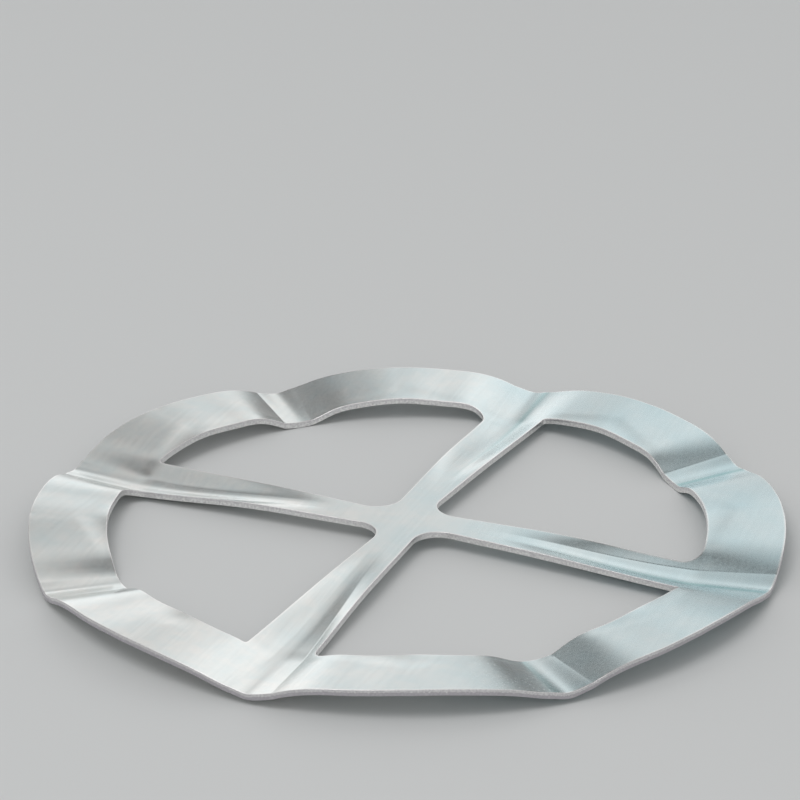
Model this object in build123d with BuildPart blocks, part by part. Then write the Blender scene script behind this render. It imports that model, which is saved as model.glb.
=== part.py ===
from build123d import *
from math import cos, radians, sqrt, tan
import os

# Gas hob reducer ring: one disc of zinc-plated steel sheet, cut through by four windows and
# pressed into eight radial pleats. Millimetres, +Z up, origin on the axis at the lowest underside.

# plan of the blank
rim_radius = 70.0            # outer edge of the disc
band_width = 14.4            # from the rim to the outer arc of the windows
pleat_count = 8
spoke_count = 4

# sheet
sheet_thickness = 1.2

# heights of the top face above the plane that the ring rests on
rim_crest_height = 5.6       # between two pleats, at the rim
window_crest_height = 4.6    # between two pleats, at the windows' arc
rim_valley_height = 2.1      # bottom of a pleat, at the rim
window_valley_height = 1.2   # bottom of a pleat, at the windows' arc, where the ring stands
hub_height = 3.6             # middle of the ring

# the pleats keep their depth for a short way along the spokes, then fade out
fade_start = 4.0             # inwards from the windows' arc
fade_end_radius = 14.0
pleat_runout = 0.05          # depth that is left of a pleat at the hub

# flat land coined at the hub
land_radius = 15.5
land_proud = 0.06            # above and below the sheet around it

# one pleat seen along its length: offsets as shares of half the pitch, from the spoke's line,
# and drops as shares of the pleat's depth
outer_shoulder, outer_shoulder_drop = 0.56, 0.21     # gentle side: the arch starts to fall
inner_shoulder, inner_shoulder_drop = 0.33, 0.50
foot, rim_foot_drop, window_foot_drop = 0.13, 0.86, 0.96          # soft bend at the floor
floor_middle = 0.03                                  # the lowest line, on the gentle side
crease, rim_crease_drop, window_crease_drop = 0.12, 0.78, 0.91    # sharp bend at the floor
riser_top, riser_top_drop = 0.34, 0.31               # steep side: it rolls over into the arch
roll_end, roll_end_drop = 0.58, 0.15
foot_slope = 1.2             # drop of the gentle side at the foot, in depths for each half pitch
riser_slope = 3.2            # rise of the steep side at the crease, in the same units
groove_slope = 13.5          # slopes of the floor at its two ends, in the same units, for each
strip_slope = 6.4            # share of the depth between that end and the lowest line

# spokes: each follows every second pleat, its edges set out from the pleat's bottom line
steep_edge_outer = 4.0       # steep side, at the windows' arc
steep_edge_inner = 4.2       # steep side, at the spoke's root
gentle_edge_outer = 7.9
gentle_edge_inner = 3.6
spoke_root_radius = 16.0     # where the inner offsets are measured
window_corner_round = 3.5    # corner on the steep side of a spoke
window_tip_round = 0.5       # corner on the gentle side of the next
window_hub_round = 5.0       # corner at the hub

half_pitch_angle = 180.0 / pleat_count
window_radius = rim_radius - band_width
fade_start_radius = window_radius - fade_start
overcut = 4.0                # the sheet is drawn this far past an edge before it is cut


def on_band(radius, at_window, at_rim):
    """A value that runs straight from the windows' arc to the rim."""
    share = (radius - window_radius) / (rim_radius - window_radius)
    return at_window + share * (at_rim - at_window)


def on_spoke(radius, at_window):
    """Height on the smooth fade from the windows to the hub."""
    share = max(0.0, (radius - fade_end_radius) / (fade_start_radius - fade_end_radius))
    return hub_height + (3 * share**2 - 2 * share**3) * (at_window - hub_height)


def pleat_section(distance, crest, valley):
    """Closed outline of the sheet, one pitch wide, on a plane square to the pleat."""
    half = distance * tan(radians(half_pitch_angle))
    depth = crest - valley
    floor_radius = max(distance, window_radius)
    foot_drop = on_band(floor_radius, window_foot_drop, rim_foot_drop)
    crease_drop = on_band(floor_radius, window_crease_drop, rim_crease_drop)
    with BuildLine() as section:
        for top in (crest, crest - sheet_thickness):
            fall = Spline(
                (-half, top),
                (-outer_shoulder * half, top - outer_shoulder_drop * depth),
                (-inner_shoulder * half, top - inner_shoulder_drop * depth),
                (-foot * half, top - foot_drop * depth),
                tangents=[(1, 0), (1, -foot_slope * depth / half)],
            )
            groove = Spline(
                fall @ 1,
                (-floor_middle * half, top - depth),
                tangents=[(1, -groove_slope * (1 - foot_drop) * depth / half), (1, 0)],
            )
            strip = Spline(
                groove @ 1,
                (crease * half, top - crease_drop * depth),
                tangents=[(1, 0), (1, strip_slope * (1 - crease_drop) * depth / half)],
            )
            rise = Spline(
                strip @ 1,
                (riser_top * half, top - riser_top_drop * depth),
                (roll_end * half, top - roll_end_drop * depth),
                (half, top),
                tangents=[(1, riser_slope * depth / half), (1, 0)],
            )
        Line((-half, crest), (-half, crest - sheet_thickness))
        Line((half, crest), (half, crest - sheet_thickness))
    across = Plane(origin=(distance, 0, 0), x_dir=(0, 1, 0), z_dir=(1, 0, 0))
    return across * Wire(section.edges())


# sections from past the rim to inside the hub; the crest lies on the side of the pitch, so on the
# band its radius is the distance over the cosine of half the pitch
sections = []
for distance in (rim_radius + overcut, window_radius + 0.45 * (band_width + overcut)):
    crest_radius = distance / cos(radians(half_pitch_angle))
    crest = on_band(crest_radius, window_crest_height, rim_crest_height)
    valley = on_band(distance, window_valley_height, rim_valley_height)
    sections.append(pleat_section(distance, crest, valley))
fade_length = fade_start_radius - fade_end_radius
for distance in (
    fade_start_radius,
    fade_start_radius - 0.31 * fade_length,
    fade_start_radius - 0.63 * fade_length,
    fade_end_radius + 0.11 * fade_length,
    land_radius - overcut,
):
    crest = on_spoke(distance, window_crest_height)
    valley = min(on_spoke(distance, window_valley_height), crest - pleat_runout)
    sections.append(pleat_section(distance, crest, valley))

# one pitch of pressed sheet
pitch = Solid.make_loft(sections)

# one window in plan, in the quarter between the spokes on +X and +Y: it runs along the steep edge
# of the first, round the arc, and back along the gentle edge of the second
steep_end = (sqrt(window_radius**2 - steep_edge_outer**2), steep_edge_outer)
gentle_end = (gentle_edge_outer, sqrt(window_radius**2 - gentle_edge_outer**2))
steep_taper = (steep_edge_outer - steep_edge_inner) / (steep_end[0] - spoke_root_radius)
gentle_taper = (gentle_edge_outer - gentle_edge_inner) / (gentle_end[1] - spoke_root_radius)
steep_at_axis = steep_edge_inner - steep_taper * spoke_root_radius
gentle_at_axis = gentle_edge_inner - gentle_taper * spoke_root_radius
corner_x = (gentle_at_axis + gentle_taper * steep_at_axis) / (1 - steep_taper * gentle_taper)
hub_corner = (corner_x, steep_at_axis + steep_taper * corner_x)

with BuildSketch() as window:
    with BuildLine():
        Line(hub_corner, steep_end)
        RadiusArc(steep_end, gentle_end, -window_radius)
        Line(gentle_end, hub_corner)
    make_face()
    fillet(window.vertices().sort_by(Axis.X)[-1], window_corner_round)
    fillet(window.vertices().sort_by(Axis.Y)[-1], window_tip_round)
    fillet(window.vertices().sort_by_distance((0, 0))[0], window_hub_round)

# the whole ring: eight pitches round the hub land, trimmed to the rim and pierced
with BuildPart() as reducer_ring:
    with PolarLocations(0, pleat_count):
        add(pitch)
    with BuildSketch(Plane.XY.offset(hub_height - sheet_thickness - land_proud)):
        Circle(land_radius)
    extrude(amount=sheet_thickness + 2 * land_proud)
    with BuildSketch(Plane.XY.offset(-sheet_thickness)):
        Circle(rim_radius)
    extrude(amount=2 * rim_crest_height, mode=Mode.INTERSECT)
    with BuildSketch(Plane.XY.offset(-sheet_thickness)):
        with PolarLocations(0, spoke_count):
            add(window.sketch)
    extrude(amount=2 * rim_crest_height, mode=Mode.SUBTRACT)

reducer_ring.part.label = "reducer_ring"

os.makedirs("parts", exist_ok=True)
export_step(reducer_ring.part, "parts/reducer_ring.step")
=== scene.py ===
from math import cos, pi, radians, sin, sqrt, tan
import bpy
import numpy as np
from mathutils import Matrix, Vector
from mathutils.geometry import delaunay_2d_cdt


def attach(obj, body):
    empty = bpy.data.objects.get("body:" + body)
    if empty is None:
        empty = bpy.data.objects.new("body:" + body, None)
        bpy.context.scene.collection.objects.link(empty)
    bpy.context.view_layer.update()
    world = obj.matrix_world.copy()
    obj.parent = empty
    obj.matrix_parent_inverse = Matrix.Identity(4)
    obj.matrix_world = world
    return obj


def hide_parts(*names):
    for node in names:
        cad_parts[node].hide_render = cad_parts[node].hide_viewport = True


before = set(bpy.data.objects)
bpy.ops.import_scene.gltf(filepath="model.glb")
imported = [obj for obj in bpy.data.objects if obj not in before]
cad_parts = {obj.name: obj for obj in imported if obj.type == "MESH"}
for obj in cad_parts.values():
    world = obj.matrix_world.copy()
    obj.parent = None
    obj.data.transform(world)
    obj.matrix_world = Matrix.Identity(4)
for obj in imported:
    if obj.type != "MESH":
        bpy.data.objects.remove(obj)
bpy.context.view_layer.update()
mm = 0.001


def sceneColour(code):
    # sRGB hex to the linear values, with alpha 1, that shader sockets take
    parts = [int(code[i:i + 2], 16) / 255 for i in (1, 3, 5)]
    return [p / 12.92 if p <= 0.04045 else ((p + 0.055) / 1.055) ** 2.4 for p in parts] + [1.0]


def addNode(tree, kind, output, sockets=(), **settings):
    # one node: its settings, and on each socket a value, a hex colour or a link from another node.
    # Sockets come by name or number, or as a list in the node's own order. Hands back one output
    node = tree.nodes.new("ShaderNode" + kind)
    for name, value in settings.items():
        setattr(node, name, value)
    for socket, value in sockets.items() if isinstance(sockets, dict) else enumerate(sockets):
        if isinstance(value, bpy.types.NodeSocket):
            tree.links.new(value, node.inputs[socket])
        else:
            node.inputs[socket].default_value = sceneColour(value) if isinstance(value, str) else value
    return node.outputs[output]


# the camera, at the photograph's viewing angle
view = {
    "azimuth": 21.77,                   # degrees that the camera is turned round the ring
    "elevation": 22.8,
    "roll": -0.23,
    "distance": 0.5361,                 # metres from the point it aims at
    "lens": 129.2,                      # mm on a 36 mm sensor
    "nearest": 0.01,                    # metres: what is closer isn't seen
    "aim": (-0.0012, 0.0099, 0.0235),   # metres right, back and up from the ring's origin
}


def fromView(x, y, z):
    # right, back and up as the camera sees them, turned into the ring's own X, Y and Z
    a = radians(view["azimuth"])
    return Vector((x * cos(a) - y * sin(a), x * sin(a) + y * cos(a), z))


def makeCamera():
    # looks at the aim from its distance, at its elevation, and is rolled about the line of sight
    e = radians(view["elevation"])
    right = fromView(1, 0, 0)
    back = fromView(0, -cos(e), sin(e))
    up = fromView(0, sin(e), cos(e))
    data = bpy.data.cameras.new("camera")
    data.lens = view["lens"]
    data.clip_start = view["nearest"]
    camera = bpy.data.objects.new("camera", data)
    turn = Matrix((right, up, back)).transposed() @ Matrix.Rotation(radians(view["roll"]), 3, "Z")
    place = fromView(*view["aim"]) + back * view["distance"]
    camera.matrix_world = Matrix.Translation(place) @ turn.to_4x4()
    bpy.context.collection.objects.link(camera)
    bpy.context.scene.camera = camera


makeCamera()
print("camera set")

# the pressed sheet, in millimetres
sheet = {
    "rimRadius": 70.0,
    "bandWidth": 14.4,
    "thickness": 1.2,
    "rimCrest": 5.6,             # heights of the top face
    "windowCrest": 4.6,
    "rimValley": 2.1,
    "windowValley": 1.2,
    "hub": 3.6,
    "fadeStart": 51.6,           # radii between which the pleats fade out
    "fadeEnd": 14.0,
    "bandBlend": 6.0,            # over which the spokes' heights run into the band's
    "pleats": 8,
    "bendRadius": 0.24,          # how far the sheet is rounded to either side of a bend
    "bendReaches": (0.35, 0.8),  # shares of it at which neighbours are averaged
    "bendNeighbours": 8,
    "edgeRound": 0.13,
    "rimClear": 0.01,            # keeps the rim inside the solid's own
    "lift": 0.03,                # and the rounded surface above the plane that the ring rests on
    "normalStep": 0.05,
}

# one pleat: places across it as shares of half the pitch, drops as shares of its depth
pleat = {
    "gentleSide": ((-1.0, 0.0), (-0.56, 0.21), (-0.33, 0.50)),   # place and drop
    "softBend": -0.13,
    "lowest": -0.03,             # the lowest line, nearer to the soft bend
    "sharpBend": 0.12,
    "steepSide": ((0.34, 0.31), (0.58, 0.15), (1.0, 0.0)),
    "footDrop": (0.96, 0.86),    # at the soft bend, by the windows' arc and at the rim
    "creaseDrop": (0.91, 0.78),  # the same at the sharp bend
    "footSlope": 1.2,            # how fast the drop changes with the place: outside the two bends,
    "riserSlope": -3.2,
    "grooveSlope": 13.5,         # and inside them, for each share of the depth that is left there
    "stripSlope": -6.4,
}

# slow unevenness that the press leaves
buckle = {
    "height": 0.02,              # mm
    "mean": 0.8,                 # shares of the height
    "swing": 0.5,
    "straight": (13.3, 15.1),    # mm for each radian of the waves along X and along Y
    "starts": (1.1, 0.4),        # radians at which those two start
    "slanting": (12.2, 19.0),    # and mm for the two slanting ones, half as high
    "slant": 1.7,
}

# one window, in millimetres
window = {
    "steepEdge": (4.0, 4.2),     # distance from the pleat's line, at the arc and at the spoke's root
    "gentleEdge": (7.9, 3.6),
    "rootRadius": 16.0,
    "cornerRound": 3.5,
    "tipRound": 0.5,
    "hubRound": 5.0,
}

# how finely the surface is drawn
grid = {
    "alongEdge": 0.33,                # mm between points on a cut edge
    "alongCorner": 0.165,
    "alongTip": 0.0825,
    "across": 1.0,                    # mm between circles of points on the faces
    "clear": 0.3,                     # mm from a cut edge in which they have none
    "thinning": 0.55,                 # spacing round a small circle, as a share of across
    "gentleLines": (-1, -0.25, 13),   # lines across half a pleat: first place, last place and number
    "floorLines": (-0.2, 0.08, 15),
    "steepLines": (0.16, 0.9, 14),
    "creaseLines": 9,
    "creaseHalf": 0.025,              # half width of the close lines at the sharp bend
    "roundSteps": 4,
    "wallSteps": 3,
}

halfPitch = pi / sheet["pleats"]
windowRadius = sheet["rimRadius"] - sheet["bandWidth"]


def smooth(s):
    # three s squared less two s cubed: from 0 to 1, level at both ends
    return 3 * s**2 - 2 * s**3


def pleatPlace(x, y):
    # angle from the nearest pleat's line, and the offset from that line as a share of half the pitch
    angle = (np.arctan2(y, x) + halfPitch) % (2 * halfPitch) - halfPitch
    return angle, np.tan(angle) / tan(halfPitch)


def clampedSpline(knots, values, firstSlope, lastSlope, x):
    # cubic pieces through the knots that share slope and curvature where they meet, with given slopes
    # at the two ends: the slopes between come from a linear system with three numbers in each row
    knots = np.array(knots)
    h = np.diff(knots)
    system = np.eye(len(knots))
    right = np.zeros(values.shape)
    right[:, 0], right[:, -1] = firstSlope, lastSlope
    for i in range(1, len(knots) - 1):
        system[i, i - 1:i + 2] = h[i], 2 * (h[i] + h[i - 1]), h[i - 1]
        right[:, i] = 3 * (h[i] * (values[:, i] - values[:, i - 1]) / h[i - 1]
                           + h[i - 1] * (values[:, i + 1] - values[:, i]) / h[i])
    slopes = np.linalg.solve(system, right.T).T
    piece = np.clip(np.searchsorted(knots, x) - 1, 0, len(knots) - 2)
    row = np.arange(len(x))
    s = (x - knots[piece]) / h[piece]
    fromStart = (1 - smooth(s)) * values[row, piece] + (s**3 - 2 * s**2 + s) * slopes[row, piece] * h[piece]
    toEnd = smooth(s) * values[row, piece + 1] + (s**3 - s**2) * slopes[row, piece + 1] * h[piece]
    return fromStart + toEnd


def pleatDrop(t, foot, crease):
    # drop below the crest as a share of the depth, at place t: a falling curve down to the soft bend,
    # two curves that meet level at the lowest line, and a steeper curve from the sharp bend upwards
    soft, lowest, sharp = pleat["softBend"], pleat["lowest"], pleat["sharpBend"]
    drop = np.zeros(len(t))

    part = t <= soft
    places, drops = zip(*pleat["gentleSide"])
    values = np.column_stack([np.full(part.sum(), d) for d in drops] + [foot[part]])
    drop[part] = clampedSpline(places + (soft,), values, 0, pleat["footSlope"], t[part])

    part = t >= sharp
    places, drops = zip(*pleat["steepSide"])
    values = np.column_stack([crease[part]] + [np.full(part.sum(), d) for d in drops])
    drop[part] = clampedSpline((sharp,) + places, values, pleat["riserSlope"], 0, t[part])

    for start, bendDrop, slope, part in (
        (soft, foot, pleat["grooveSlope"], (t > soft) & (t <= lowest)),
        (sharp, crease, pleat["stripSlope"], (t > lowest) & (t < sharp)),
    ):
        s = (t[part] - start) / (lowest - start)
        leaving = slope * (1 - bendDrop[part]) * (lowest - start)
        drop[part] = (1 - smooth(s)) * bendDrop[part] + (s**3 - 2 * s**2 + s) * leaving + smooth(s)
    return drop


def onBand(at, onArc, onRim):
    # straight across the band, from the value at the windows' arc to the one at the rim
    return onArc + (at - windowRadius) / sheet["bandWidth"] * (onRim - onArc)


def onSpoke(at, onArc):
    # level at the hub, then eased to the height at the windows' arc
    s = np.clip((at - sheet["fadeEnd"]) / (sheet["fadeStart"] - sheet["fadeEnd"]), 0, 1)
    return sheet["hub"] + smooth(s) * (onArc - sheet["hub"])


def sharpHeight(x, y):
    # top face with sharp bends: the distance along the nearest pleat's line gives crest and valley,
    # and the place across the pleat gives the drop from the one towards the other
    angle, t = pleatPlace(x, y)
    along = np.hypot(x, y) * np.cos(angle)
    blend = smooth(np.clip((along - sheet["fadeStart"]) / sheet["bandBlend"], 0, 1))
    bandCrest = onBand(along / cos(halfPitch), sheet["windowCrest"], sheet["rimCrest"])
    bandValley = onBand(along, sheet["windowValley"], sheet["rimValley"])
    crest = onSpoke(along, sheet["windowCrest"]) * (1 - blend) + bandCrest * blend
    valley = onSpoke(along, sheet["windowValley"]) * (1 - blend) + bandValley * blend
    floorAt = np.maximum(along, windowRadius)         # along the spokes the floor keeps one shape
    foot = onBand(floorAt, *pleat["footDrop"])
    crease = onBand(floorAt, *pleat["creaseDrop"])
    return crest - pleatDrop(t, foot, crease) * (crest - valley)


def unevenness(x, y):
    # a wave along X times one along Y, plus half of one slanting wave times another
    alongX = np.sin(x / buckle["straight"][0] + buckle["starts"][0])
    alongY = np.sin(y / buckle["straight"][1] + buckle["starts"][1])
    over = np.sin((x + y) / buckle["slanting"][0])
    back = np.sin((x - buckle["slant"] * y) / buckle["slanting"][1])
    return buckle["height"] * (buckle["mean"] + buckle["swing"] * (alongX * alongY + 0.5 * over * back))


def topHeight(x, y):
    # mean of the sharp surface over two small rings of neighbours, so that every bend gets a
    # radius, plus the unevenness
    total = np.zeros(len(x))
    turns = np.linspace(0, 2 * pi, sheet["bendNeighbours"], endpoint=False)
    for reach in sheet["bendReaches"]:
        step = reach * sheet["bendRadius"]
        for turn in turns:
            total += sharpHeight(x + step * cos(turn), y + step * sin(turn))
    return total / (len(sheet["bendReaches"]) * len(turns)) + sheet["lift"] + unevenness(x, y)


def topNormal(x, y):
    # unit normal of the top face, from the heights a small step to either side
    d = sheet["normalStep"]
    slopeX = (topHeight(x + d, y) - topHeight(x - d, y)) / (2 * d)
    slopeY = (topHeight(x, y + d) - topHeight(x, y - d)) / (2 * d)
    normal = np.column_stack([-slopeX, -slopeY, np.ones(len(x))])
    return normal / np.linalg.norm(normal, axis=1)[:, None]


def unit(vector):
    # the vector over its length
    return vector / np.linalg.norm(vector)


def roundCorner(before, corner, after, radius):
    # centre, start and end of the arc that rounds a corner between two straight edges: the centre is
    # on the line that halves the angle, the radius over the sine of half of it away from the corner
    into = unit(before - corner)
    out = unit(after - corner)
    halfAngle = np.arccos(np.dot(into, out)) / 2
    centre = corner + unit(into + out) * radius / sin(halfAngle)
    reach = radius / tan(halfAngle)
    return centre, corner + into * reach, corner + out * reach


def arcCorner(hub, end, radius, side):
    # round between a spoke's edge, from hub to end, and the windows' arc: its centre, which is the
    # radius inside the edge and the radius inside the arc, and where it touches edge and arc
    along = unit(end - hub)
    inward = np.array([-along[1], along[0]]) * side
    foot = hub + inward * radius
    b = np.dot(foot, along)
    reach = -b + sqrt(b * b - np.dot(foot, foot) + (windowRadius - radius) ** 2)
    centre = foot + along * reach
    return centre, centre - inward * radius, centre * windowRadius / np.linalg.norm(centre)


def arcPoints(centre, start, end, spacing):
    # points from start towards end, the short way round the centre
    first = np.arctan2(*(start - centre)[::-1])
    last = np.arctan2(*(end - centre)[::-1])
    sweep = (last - first + pi) % (2 * pi) - pi
    radius = np.linalg.norm(start - centre)
    count = int(np.ceil(abs(sweep) * radius / spacing))
    angles = first + sweep * np.arange(count) / count
    return centre + radius * np.column_stack([np.cos(angles), np.sin(angles)])


def linePoints(start, end, spacing):
    # points from start towards end, evenly spaced
    count = int(np.ceil(np.linalg.norm(end - start) / spacing))
    return start + (end - start) * (np.arange(count) / count)[:, None]


def windowLoop():
    # plan of one window, anticlockwise: hub corner, steep edge, rounded corner, windows' arc, tip and
    # gentle edge. The two edges are lines that taper towards the hub and cross at its corner
    root = window["rootRadius"]
    steepOut, steepIn = window["steepEdge"]
    gentleOut, gentleIn = window["gentleEdge"]
    steepEnd = np.array([sqrt(windowRadius**2 - steepOut**2), steepOut])
    gentleEnd = np.array([gentleOut, sqrt(windowRadius**2 - gentleOut**2)])
    steepTaper = (steepOut - steepIn) / (steepEnd[0] - root)
    gentleTaper = (gentleOut - gentleIn) / (gentleEnd[1] - root)
    steepAxis = steepIn - steepTaper * root
    gentleAxis = gentleIn - gentleTaper * root
    hubX = (gentleAxis + gentleTaper * steepAxis) / (1 - steepTaper * gentleTaper)
    hub = np.array([hubX, steepAxis + steepTaper * hubX])
    hubCentre, hubStart, hubEnd = roundCorner(gentleEnd, hub, steepEnd, window["hubRound"])
    cornerCentre, cornerStart, cornerEnd = arcCorner(hub, steepEnd, window["cornerRound"], 1)
    tipCentre, tipEnd, tipStart = arcCorner(hub, gentleEnd, window["tipRound"], -1)
    return np.vstack([
        arcPoints(hubCentre, hubStart, hubEnd, grid["alongEdge"]),
        linePoints(hubEnd, cornerStart, grid["alongEdge"]),
        arcPoints(cornerCentre, cornerStart, cornerEnd, grid["alongCorner"]),
        arcPoints(np.zeros(2), cornerEnd, tipStart, grid["alongEdge"]),
        arcPoints(tipCentre, tipStart, tipEnd, grid["alongTip"]),
        linePoints(tipEnd, hubStart, grid["alongEdge"]),
    ])


def outward(loop):
    # unit normals that point to the right of the loop's direction
    way = np.roll(loop, -1, axis=0) - np.roll(loop, 1, axis=0)
    normal = np.column_stack([way[:, 1], -way[:, 0]])
    return normal / np.linalg.norm(normal, axis=1)[:, None]


def turned(points, quarters):
    # anticlockwise about the axis, by a number of quarter turns
    c, s = cos(quarters * pi / 2), sin(quarters * pi / 2)
    return points @ np.array([[c, s], [-s, c]])


def inside(points, loop):
    # true where a line drawn from the point in +X crosses the loop an odd number of times
    x, y = points[:, 0, None], points[:, 1, None]
    ahead = np.roll(loop, -1, axis=0)
    spans = (loop[None, :, 1] > y) != (ahead[None, :, 1] > y)
    with np.errstate(divide="ignore", invalid="ignore"):
        crossX = loop[:, 0] + (y - loop[:, 1]) * (ahead[:, 0] - loop[:, 0]) / (ahead[:, 1] - loop[:, 1])
    return (spans & (x < crossX)).sum(axis=1) % 2 == 1


def facePoints(loops):
    # points inside the sheet: circles round the axis, with points closer together where the pleats
    # bend and fewer of them near the hub, and none in a window or close to a cut edge
    places = np.concatenate([
        np.linspace(*grid["gentleLines"]),
        np.linspace(*grid["floorLines"]),
        pleat["sharpBend"] + grid["creaseHalf"] * np.linspace(-1, 1, grid["creaseLines"]),
        np.linspace(*grid["steepLines"]),
    ])
    pitches = 2 * halfPitch * np.arange(sheet["pleats"])
    angles = (np.arctan(places * tan(halfPitch))[None] + pitches[:, None]).ravel()
    circles = []
    for radius in np.arange(grid["across"], sheet["rimRadius"], grid["across"]):
        wanted = 2 * pi * radius / grid["across"]
        kept = angles[::max(1, int(round(grid["thinning"] * len(angles) / wanted)))]
        circles.append(radius * np.column_stack([np.cos(kept), np.sin(kept)]))
    points = np.vstack(circles)
    for loop in loops[1:]:
        points = points[~inside(points, loop)]
    for loop in loops:
        away = np.hypot(points[:, None, 0] - loop[None, :, 0], points[:, None, 1] - loop[None, :, 1])
        points = points[np.min(away, axis=1) > grid["clear"]]
    return points


def planTriangles(loops):
    # the sheet in plan, triangulated between its outlines: the points, the triangles within the rim
    # and outside the windows, and for each outline the numbers of its points
    plan = np.vstack(loops + [facePoints(loops)])
    starts = np.cumsum([0] + [len(loop) for loop in loops])
    rings = [list(range(first, last)) for first, last in zip(starts[:-1], starts[1:])]
    borders = [(a, b) for ring in rings for a, b in zip(ring, ring[1:] + ring[:1])]
    everyTriangle, tolerance = 0, 1e-6
    found = delaunay_2d_cdt([Vector(p) for p in plan], borders, [], everyTriangle, tolerance, True)
    points, triangles = np.array(found[0]), np.array(found[2])
    middles = points[triangles].mean(axis=1)
    keep = np.all([~inside(middles, loop) for loop in loops[1:]] + [inside(middles, loops[0])], axis=0)
    number = np.zeros(len(plan), int)
    for new, old in enumerate(found[3]):
        number[old] = new
    print("plan:", len(plan), "points,", len(points), "kept,", keep.sum(), "triangles")
    return points, triangles[keep], [number[ring] for ring in rings]


def edgeRows(loop, normal):
    # rows of points down a cut edge, with their normals: a quarter round, a straight wall and a
    # quarter round. After a turn, a round lies its radius times 1 less the sine inside the outline
    # and its radius times 1 less the cosine from the face, and its normal turns from face to wall
    e = sheet["edgeRound"]
    side = np.column_stack([normal, np.zeros(len(normal))])
    turns = np.linspace(0, pi / 2, grid["roundSteps"] + 1)[1:]

    def roundRow(turn, face, depth):
        # face is 1 for the top face and -1 for the underside, depth how far down that face lies
        p = loop - normal * e * (1 - sin(turn))
        height = topHeight(*p.T) - depth - face * e * (1 - cos(turn))
        return np.column_stack([p, height]), face * topNormal(*p.T) * cos(turn) + side * sin(turn)

    rows = [roundRow(turn, 1, 0) for turn in turns]
    wallTop, wallNormal = rows[-1]
    for share in np.arange(1, grid["wallSteps"] + 1) / grid["wallSteps"]:
        drop = share * (sheet["thickness"] - 2 * e)
        rows.append((wallTop - np.array([0, 0, drop]), wallNormal))
    rows += [roundRow(turn, -1, sheet["thickness"]) for turn in turns[-2::-1]]
    return rows


# what the finish follows on the ring
wear = {
    "edgeReach": 9.0,            # mm from a cut edge, past which nothing changes
    "bendLine": -0.115,          # where the painted shade lies in the soft bend, and how widely, as places across a pleat
    "bendWidth": 0.03,
    "patternShift": 500.0,       # mm between the patterns on one cut edge and on the next
    "chunk": 4000,               # points whose distances are worked out at a time
}


def markWear(points, loops):
    # millimetres to the nearest cut edge, and a bell curve of painted shade across each pleat's soft bend
    # that fades in from the hub
    x, y = points.T
    edge = np.concatenate(loops)
    distance = np.zeros(len(x))
    for start in range(0, len(x), wear["chunk"]):
        part = slice(start, start + wear["chunk"])
        away = np.hypot(x[part, None] - edge[:, 0], y[part, None] - edge[:, 1])
        distance[part] = np.min(away, axis=1)
    t = pleatPlace(x, y)[1]
    fade = np.clip((np.hypot(x, y) - sheet["fadeEnd"]) / (windowRadius - sheet["fadeEnd"]), 0, 1)
    return {
        "edgeDistance": np.minimum(distance, wear["edgeReach"]),
        "softBendShade": fade * np.exp(-((t - wear["bendLine"]) / wear["bendWidth"])**2),
    }


def meshFrom(name, vertices, normals, faces, material):
    # triangle mesh with its own normals and a material number for each face
    mesh = bpy.data.meshes.new(name)
    mesh.vertices.add(len(vertices))
    mesh.vertices.foreach_set("co", vertices.ravel())
    mesh.loops.add(3 * len(faces))
    mesh.loops.foreach_set("vertex_index", faces.ravel())
    mesh.polygons.add(len(faces))
    mesh.polygons.foreach_set("loop_start", np.arange(0, 3 * len(faces), 3))
    mesh.polygons.foreach_set("material_index", material)
    mesh.polygons.foreach_set("use_smooth", np.ones(len(faces), bool))
    mesh.update(calc_edges=True)
    mesh.validate()
    normals /= np.linalg.norm(normals, axis=1)[:, None]
    mesh.normals_split_custom_set_from_vertices(normals.tolist())
    return mesh


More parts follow.
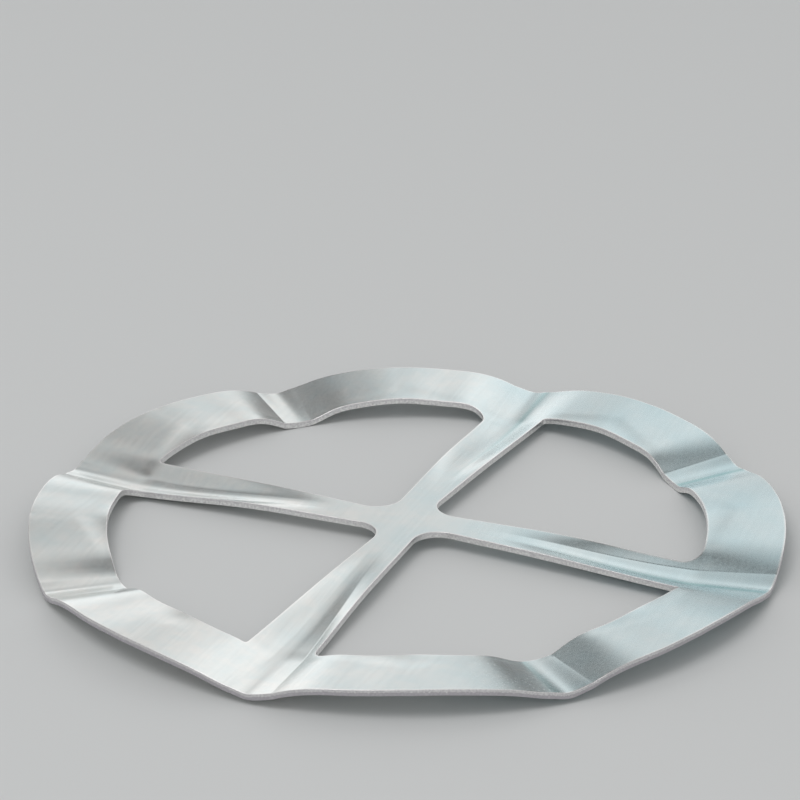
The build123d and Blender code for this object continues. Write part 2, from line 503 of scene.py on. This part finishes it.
def makeRing():
    # the top face, the same points lower and turned over for the underside, and rows of points down
    # every cut edge, joined in strips
    count = int(2 * pi * sheet["rimRadius"] / grid["alongEdge"] / sheet["pleats"]) * sheet["pleats"]
    a = np.linspace(0, 2 * pi, count, endpoint=False)
    rim = (sheet["rimRadius"] - sheet["rimClear"]) * np.column_stack([np.cos(a), np.sin(a)])
    oneWindow = windowLoop()[::-1]                    # clockwise, so the sheet is always on the left
    loops = [rim] + [turned(oneWindow, q) for q in range(4)]
    walls = [outward(loop) for loop in loops]
    points, triangles, rings = planTriangles([p - w * sheet["edgeRound"] for p, w in zip(loops, walls)])

    size = len(points)
    top = np.column_stack([points, topHeight(*points.T)])
    up = topNormal(*points.T)
    vertices = [top, top - np.array([0, 0, sheet["thickness"]])]
    normals = [up, -up]
    faces = [triangles, triangles[:, ::-1] + size]
    material = [np.zeros(2 * len(triangles), int)]
    depth = [np.repeat([0.0, 1.0], size)]             # share of the thickness below the top face
    along = [np.zeros(2 * size)]                      # millimetres along a cut edge
    total = 2 * size

    for i, (loop, wall, ring) in enumerate(zip(loops, walls, rings)):
        rows = edgeRows(loop, wall)
        length = len(loop)
        numbers = [total + k * length + np.arange(length) for k in range(len(rows))]
        strips = [ring] + numbers + [ring + size]
        for upper, lower in zip(strips[:-1], strips[1:]):
            nextUpper, nextLower = np.roll(upper, -1), np.roll(lower, -1)
            faces.append(np.column_stack([upper, lower, nextLower]))
            faces.append(np.column_stack([upper, nextLower, nextUpper]))
        onWall = np.ones(len(strips) - 1, int)
        onWall[[0, -1]] = 0                           # the strips at the two faces are still plate
        material.append(np.repeat(onWall, 2 * length))
        vertices += [row for row, _ in rows]
        normals += [rowNormal for _, rowNormal in rows]
        edgeTop = topHeight(*loop[:1].T)[0]
        depth.append(np.repeat([(edgeTop - row[0, 2]) / sheet["thickness"] for row, _ in rows], length))
        way = np.cumsum(np.linalg.norm(np.diff(loop, axis=0, prepend=loop[:1]), axis=1))
        along.append(np.tile(way, len(rows)) + wear["patternShift"] * i)
        total += len(rows) * length

    vertices, faces = np.vstack(vertices), np.vstack(faces)
    mesh = meshFrom("pressedRing", vertices * mm, np.vstack(normals), faces, np.concatenate(material))
    marks = markWear(vertices[:, :2], loops)
    marks["depthShare"] = np.concatenate(depth)
    marks["alongEdge"] = np.concatenate(along)
    for name, values in marks.items():
        mesh.attributes.new(name, "FLOAT", "POINT").data.foreach_set("value", values)
    ring = bpy.data.objects.new("pressedRing", mesh)
    bpy.context.collection.objects.link(ring)
    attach(ring, "root")
    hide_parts("reducer_ring")
    print("ring:", len(vertices), "points,", len(faces), "triangles")
    return ring


ring = makeRing()

# the plate. A range gives two values of a pattern, a place or a mark, and what they are turned into
zinc = {
    "silver": "#EAE9E6",                            # bare plate
    "blueTintAndCoolLight": "#C8DEE3",                          # blue passivation, also used for painted cool light on one side
    "bend": "#9CC4C6",                              # painted shade in the soft bends
    "wornAndHighlight": "#F2F1EF",                              # rubbed plate beside a cut edge, and a painted highlight along it
    "tintAndCoolLightSide": (0.93, 0.37, 0.0),                  # direction in which the tint grows, partly painted cool light on that side
    "tintAndCoolLightRange": (-25 * mm, 62 * mm, 0.0, 0.8),     # places along it
    "cloudSize": 14.0,                              # mm
    "cloudRange": (0.3, 0.7, -0.15, 0.3),
    "blotchSize": 2.6,                              # mm
    "blotchRange": (0.3, 0.7, 0.0, 0.22),
    # places along that side, over which the painted shade in the bends grows
    "bendRange": (-15 * mm, 50 * mm, 0.0, 0.9),
    "lineSize": (0.7, 26.0),                        # width and length of the rolling lines, mm
    "lineTurn": 35,                                 # degrees
    "lineDetail": 2.0,
    "lineShade": (0.3, 0.7, -0.02, 0.02),
    "grainSize": 0.55,                              # mm, drawn coarse: the real grain is too fine to show
    "grainShade": (0.25, 0.75, 0.98, 1.0),
    "detail": 3.0,
    "wornAndHighlightRange": (0.05, 0.45, 1.0, 0.0),            # mm from the cut edge
    "wornPatches": (0.25, 0.55, 0.5, 1.0),
    "grainRoughness": (0.2, 0.8, 0.205, 0.275),
    "tintRoughness": (0.0, 1.0, -0.02, 0.05),
    "wornRoughness": (0.0, 1.0, 0.0, 0.04),
    "bumpDepth": 0.012 * mm,
    "grainBump": 0.012,
    "lineBump": 0.035,
}

# the cut edges
sheared = {
    "burnished": "#ECEAEA",                         # smooth upper band left by the punch
    "torn": "#C8C5C9",                              # rough lower band at the rim
    "pierced": "#F7F7F5",                           # and in the windows, lighter: a painted highlight on the window walls
    "speck": "#AEAAB0",
    "drag": "#E6E4E4",                              # upright marks dragged by the punch
    "tornRange": (0.34, 0.50, 0.0, 1.0),            # shares of the thickness
    "tornWaver": (0.3, 0.7, -0.12, 0.12),
    "detail": 3.0,
    "speckSize": 0.35,                              # mm, drawn coarse as well
    "speckRange": (0.35, 0.7, 0.0, 0.5),
    "dragSize": (0.5, 3.0),                         # mm along and down the edge
    "dragRange": (0.55, 0.8, 0.0, 0.5),
    "roughness": (0.0, 1.0, 0.32, 0.55),
    "bumpDepth": 0.05 * mm,
    "speckBump": 0.6,
}


def newMaterial(name):
    # a material, its tree and its shader
    material = bpy.data.materials.new(name)
    material.use_nodes = True
    return material, material.node_tree, material.node_tree.nodes["Principled BSDF"]


def perMetre(size):
    # noise scale for a pattern of this size in millimetres
    return 1 / (size * mm)


def linkMetal(tree, shader, colour, roughness, normal):
    # bare metal has its colour in the reflection
    tree.links.new(colour, shader.inputs["Base Color"])
    tree.links.new(roughness, shader.inputs["Roughness"])
    tree.links.new(normal, shader.inputs["Normal"])
    shader.inputs["Metallic"].default_value = 1.0


def makeZinc():
    # cold-rolled steel, electroplated with zinc and blue passivated after pressing: a satin silver
    # with a faint green-blue cast that is partly painted cool light on one side, painted shade in the soft
    # bends, fine rolling lines, and brighter beside the edges, where handling rubs them and a painted
    # highlight lines them.
    # A colour Mix has its factor on socket 0, its colours on 6 and 7 and its result on output 2
    material, tree, shader = newMaterial("bluePassivatedZincPlate")
    where = addNode(tree, "TexCoord", "Object")
    sizes = (zinc["cloudSize"], zinc["blotchSize"], zinc["grainSize"])
    clouds, blotch, grain = [addNode(tree, "TexNoise", "Fac", {
        "Vector": where, "Scale": perMetre(size), "Detail": zinc["detail"]}) for size in sizes]
    width, length = zinc["lineSize"]
    turn = (0, 0, radians(zinc["lineTurn"]))
    lines = addNode(tree, "Mapping", "Vector", {
        "Vector": where, "Rotation": turn, "Scale": (1 / width, 1 / length, 1)})
    lines = addNode(tree, "TexNoise", "Fac", {
        "Vector": lines, "Scale": perMetre(1), "Detail": zinc["lineDetail"]})

    # the tint grows to one side, in clouds, and is mottled: blue passivation, and painted cool light on
    # that side
    side = addNode(tree, "VectorMath", "Value", [where, zinc["tintAndCoolLightSide"]], operation="DOT_PRODUCT")
    clouds = addNode(tree, "MapRange", "Result", [clouds, *zinc["cloudRange"]])
    tintAndCoolLight = addNode(tree, "MapRange", "Result", [side, *zinc["tintAndCoolLightRange"]])
    tintAndCoolLight = addNode(tree, "Math", "Value", [tintAndCoolLight, clouds], operation="ADD")
    colour = addNode(tree, "Mix", 2, {0: tintAndCoolLight, 6: zinc["silver"], 7: zinc["blueTintAndCoolLight"]}, data_type="RGBA")
    mottle = addNode(tree, "MapRange", "Result", [blotch, *zinc["blotchRange"]])
    colour = addNode(tree, "Mix", 2, {0: mottle, 6: colour, 7: zinc["blueTintAndCoolLight"]}, data_type="RGBA")

    # painted shade: a darker teal line along each soft bend, growing to the same side
    softBendShade = addNode(tree, "Attribute", "Fac", attribute_name="softBendShade")
    bendShading = addNode(tree, "MapRange", "Result", [side, *zinc["bendRange"]])
    bendShading = addNode(tree, "Math", "Value", [softBendShade, bendShading], operation="MULTIPLY")
    colour = addNode(tree, "Mix", 2, {0: bendShading, 6: colour, 7: zinc["bend"]}, data_type="RGBA")

    # grain and rolling lines darken it a little
    grainShade = addNode(tree, "MapRange", "Result", [grain, *zinc["grainShade"]])
    lineShade = addNode(tree, "MapRange", "Result", [lines, *zinc["lineShade"]])
    shade = addNode(tree, "Math", "Value", [grainShade, lineShade], operation="ADD")
    shade = addNode(tree, "CombineColor", "Color", [shade, shade, shade])
    colour = addNode(tree, "Mix", 2, {0: 1.0, 6: colour, 7: shade}, data_type="RGBA", blend_type="MULTIPLY")

    # beside the cut edges it is brighter in patches: rubbed by handling, and a painted highlight along the
    # edge
    edgeDistance = addNode(tree, "Attribute", "Fac", attribute_name="edgeDistance")
    rubbedAndHighlit = addNode(tree, "MapRange", "Result", [edgeDistance, *zinc["wornAndHighlightRange"]])
    patchy = addNode(tree, "MapRange", "Result", [blotch, *zinc["wornPatches"]])
    rubbedAndHighlit = addNode(tree, "Math", "Value", [rubbedAndHighlit, patchy], operation="MULTIPLY")
    colour = addNode(tree, "Mix", 2, {0: rubbedAndHighlit, 6: colour, 7: zinc["wornAndHighlight"]}, data_type="RGBA")

    # grain and cast make it duller, rubbing makes it smoother
    rough = addNode(tree, "MapRange", "Result", [grain, *zinc["grainRoughness"]])
    rougher = addNode(tree, "MapRange", "Result", [tintAndCoolLight, *zinc["tintRoughness"]])
    smoother = addNode(tree, "MapRange", "Result", [rubbedAndHighlit, *zinc["wornRoughness"]])
    rough = addNode(tree, "Math", "Value", [rough, rougher], operation="ADD")
    rough = addNode(tree, "Math", "Value", [rough, smoother], operation="SUBTRACT")
    bump = addNode(tree, "Bump", "Normal", {
        "Height": grain, "Strength": zinc["grainBump"], "Distance": zinc["bumpDepth"]})
    bump = addNode(tree, "Bump", "Normal", {
        "Height": lines, "Strength": zinc["lineBump"], "Distance": zinc["bumpDepth"], "Normal": bump})
    linkMetal(tree, shader, colour, rough, bump)
    return material


def makeEdge():
    # sheared edge under the same plate: a smooth band at the top where the punch rubbed, rough and
    # specked below it, with upright drag marks
    material, tree, shader = newMaterial("shearedPlatedEdge")
    where = addNode(tree, "TexCoord", "Object")
    depth = addNode(tree, "Attribute", "Fac", attribute_name="depthShare")
    along = addNode(tree, "Attribute", "Fac", attribute_name="alongEdge")
    across, down = sheared["dragSize"]
    drag = addNode(tree, "CombineXYZ", "Vector", {"X": along, "Y": depth})
    drag = addNode(tree, "Mapping", "Vector", {
        "Vector": drag, "Scale": (1 / across, sheet["thickness"] / down, 1)})
    drag = addNode(tree, "TexNoise", "Fac", {"Vector": drag, "Scale": 1.0, "Detail": sheared["detail"]})
    speck = addNode(tree, "TexNoise", "Fac", {
        "Vector": where, "Scale": perMetre(sheared["speckSize"]), "Detail": sheared["detail"]})

    # below a wavering line the edge is torn; the torn part is lighter in the windows than at the rim, a
    # painted highlight on the window walls
    waver = addNode(tree, "MapRange", "Result", [drag, *sheared["tornWaver"]])
    torn = addNode(tree, "Math", "Value", [depth, waver], operation="ADD")
    torn = addNode(tree, "MapRange", "Result", [torn, *sheared["tornRange"]])
    fromAxis = addNode(tree, "VectorMath", "Value", [where], operation="LENGTH")
    atRim = addNode(tree, "MapRange", "Result", [
        fromAxis, windowRadius * mm, sheet["rimRadius"] * mm, 0.0, 1.0])
    colour = addNode(tree, "Mix", 2, {
        0: atRim, 6: sheared["pierced"], 7: sheared["torn"]}, data_type="RGBA")
    colour = addNode(tree, "Mix", 2, {0: torn, 6: sheared["burnished"], 7: colour}, data_type="RGBA")

    # specks and drag marks lie over it
    specked = addNode(tree, "MapRange", "Result", [speck, *sheared["speckRange"]])
    colour = addNode(tree, "Mix", 2, {0: specked, 6: colour, 7: sheared["speck"]}, data_type="RGBA")
    dragged = addNode(tree, "MapRange", "Result", [drag, *sheared["dragRange"]])
    colour = addNode(tree, "Mix", 2, {0: dragged, 6: colour, 7: sheared["drag"]}, data_type="RGBA")
    rough = addNode(tree, "MapRange", "Result", [torn, *sheared["roughness"]])
    bump = addNode(tree, "Bump", "Normal", {
        "Height": speck, "Strength": sheared["speckBump"], "Distance": sheared["bumpDepth"]})
    linkMetal(tree, shader, colour, rough, bump)
    return material


for material in (makeZinc(), makeEdge()):
    ring.data.materials.append(material)
    print("finish:", material.name)

# light and floor
studio = {
    "floor": "#D6D7D7",
    "floorRoughness": 0.9,
    "floorGloss": 0.1,
    "floorSize": 8.0,                  # metres
    "keyPlace": (-0.5, -0.5, 1.6),     # metres right, back and up
    "keySize": (0.9, 0.9),
    "keyBrightness": 2.8,
    "keyColour": "#FFFFFF",
    "sky": "#FCFDFD",
    "skyBrightness": (0.76, 0.57),     # low down and overhead
    "skyHeights": (44, 58),            # degrees between which it changes
    "skySeen": "#DCDDDD",              # its tone without the patches, behind the floor's far edge
    "patches": [
        # bearing to the right of straight behind the ring, height and half width in degrees, and the
        # brightness added in the middle
        (21, 30, 22, 0.42),
        (-20, 31, 19, -0.54),
        (18, 11, 14.5, -0.78),
        (-14, 9, 21, 0.46),
        (-17, 66, 11, -0.54),
        (28, 64, 12, -0.36),
        (-70, 30, 40, -0.18),
        (110, 25, 45, -0.30),
        (176, 16, 34, 0.24),
        (-140, 20, 35, -0.25),
    ],
}


def makeKey():
    # one large soft light overhead: its power is its brightness times pi times its area
    width, height = studio["keySize"]
    place = fromView(*studio["keyPlace"])
    data = bpy.data.lights.new("key", "AREA")
    data.shape = "RECTANGLE"
    data.size = width
    data.size_y = height
    data.energy = studio["keyBrightness"] * pi * width * height
    data.color = sceneColour(studio["keyColour"])[:3]
    key = bpy.data.objects.new("key", data)
    key.location = place
    key.rotation_euler = (-place).to_track_quat("-Z", "Y").to_euler()
    bpy.context.collection.objects.link(key)


def makeSky():
    # a soft surround: an even sky, a little darker overhead, and broad bright and dark patches in
    # it, which stand for the large soft lights and dark screens round a metal object. A patch is
    # strongest where a direction's dot product with its middle is 1 and ends at its half width.
    # The camera sees the even sky alone
    world = bpy.data.worlds.new("surround")
    world.use_nodes = True
    tree = world.node_tree
    tree.nodes.remove(tree.nodes["Background"])
    way = addNode(tree, "TexCoord", "Generated")
    up = addNode(tree, "SeparateXYZ", "Z", [way])
    low, high = [sin(radians(height)) for height in studio["skyHeights"]]
    brightness = addNode(tree, "MapRange", "Result", [up, low, high, *studio["skyBrightness"]])
    for bearing, height, halfWidth, added in studio["patches"]:
        a, h = radians(bearing), radians(height)
        middle = fromView(sin(a) * cos(h), cos(a) * cos(h), sin(h))
        near = addNode(tree, "VectorMath", "Value", [way, middle], operation="DOT_PRODUCT")
        patch = addNode(tree, "MapRange", "Result", [near, cos(radians(halfWidth)), 1.0, 0.0, added],
                        interpolation_type="SMOOTHSTEP")
        brightness = addNode(tree, "Math", "Value", [brightness, patch], operation="ADD")
    sky = addNode(tree, "Background", "Background", {"Color": studio["sky"], "Strength": brightness})
    evenSky = addNode(tree, "Background", "Background", {"Color": studio["skySeen"]})
    seen = addNode(tree, "LightPath", "Is Camera Ray")
    either = addNode(tree, "MixShader", "Shader", [seen, sky, evenSky])
    tree.links.new(either, tree.nodes["World Output"].inputs["Surface"])
    bpy.context.scene.world = world


def makeFloor():
    # matt paper, a plain pale square
    half = studio["floorSize"] / 2
    corners = [(-half, -half, 0), (half, -half, 0), (half, half, 0), (-half, half, 0)]
    mesh = bpy.data.meshes.new("floor")
    mesh.from_pydata(corners, [], [(0, 1, 2, 3)])
    floor = bpy.data.objects.new("floor", mesh)
    bpy.context.collection.objects.link(floor)
    material, _, shader = newMaterial("floorPaper")
    shader.inputs["Base Color"].default_value = sceneColour(studio["floor"])
    shader.inputs["Roughness"].default_value = studio["floorRoughness"]
    shader.inputs["Specular IOR Level"].default_value = studio["floorGloss"]
    mesh.materials.append(material)


makeFloor()
makeSky()
makeKey()
bpy.context.scene.view_settings.view_transform = "Standard"
print("studio ready")
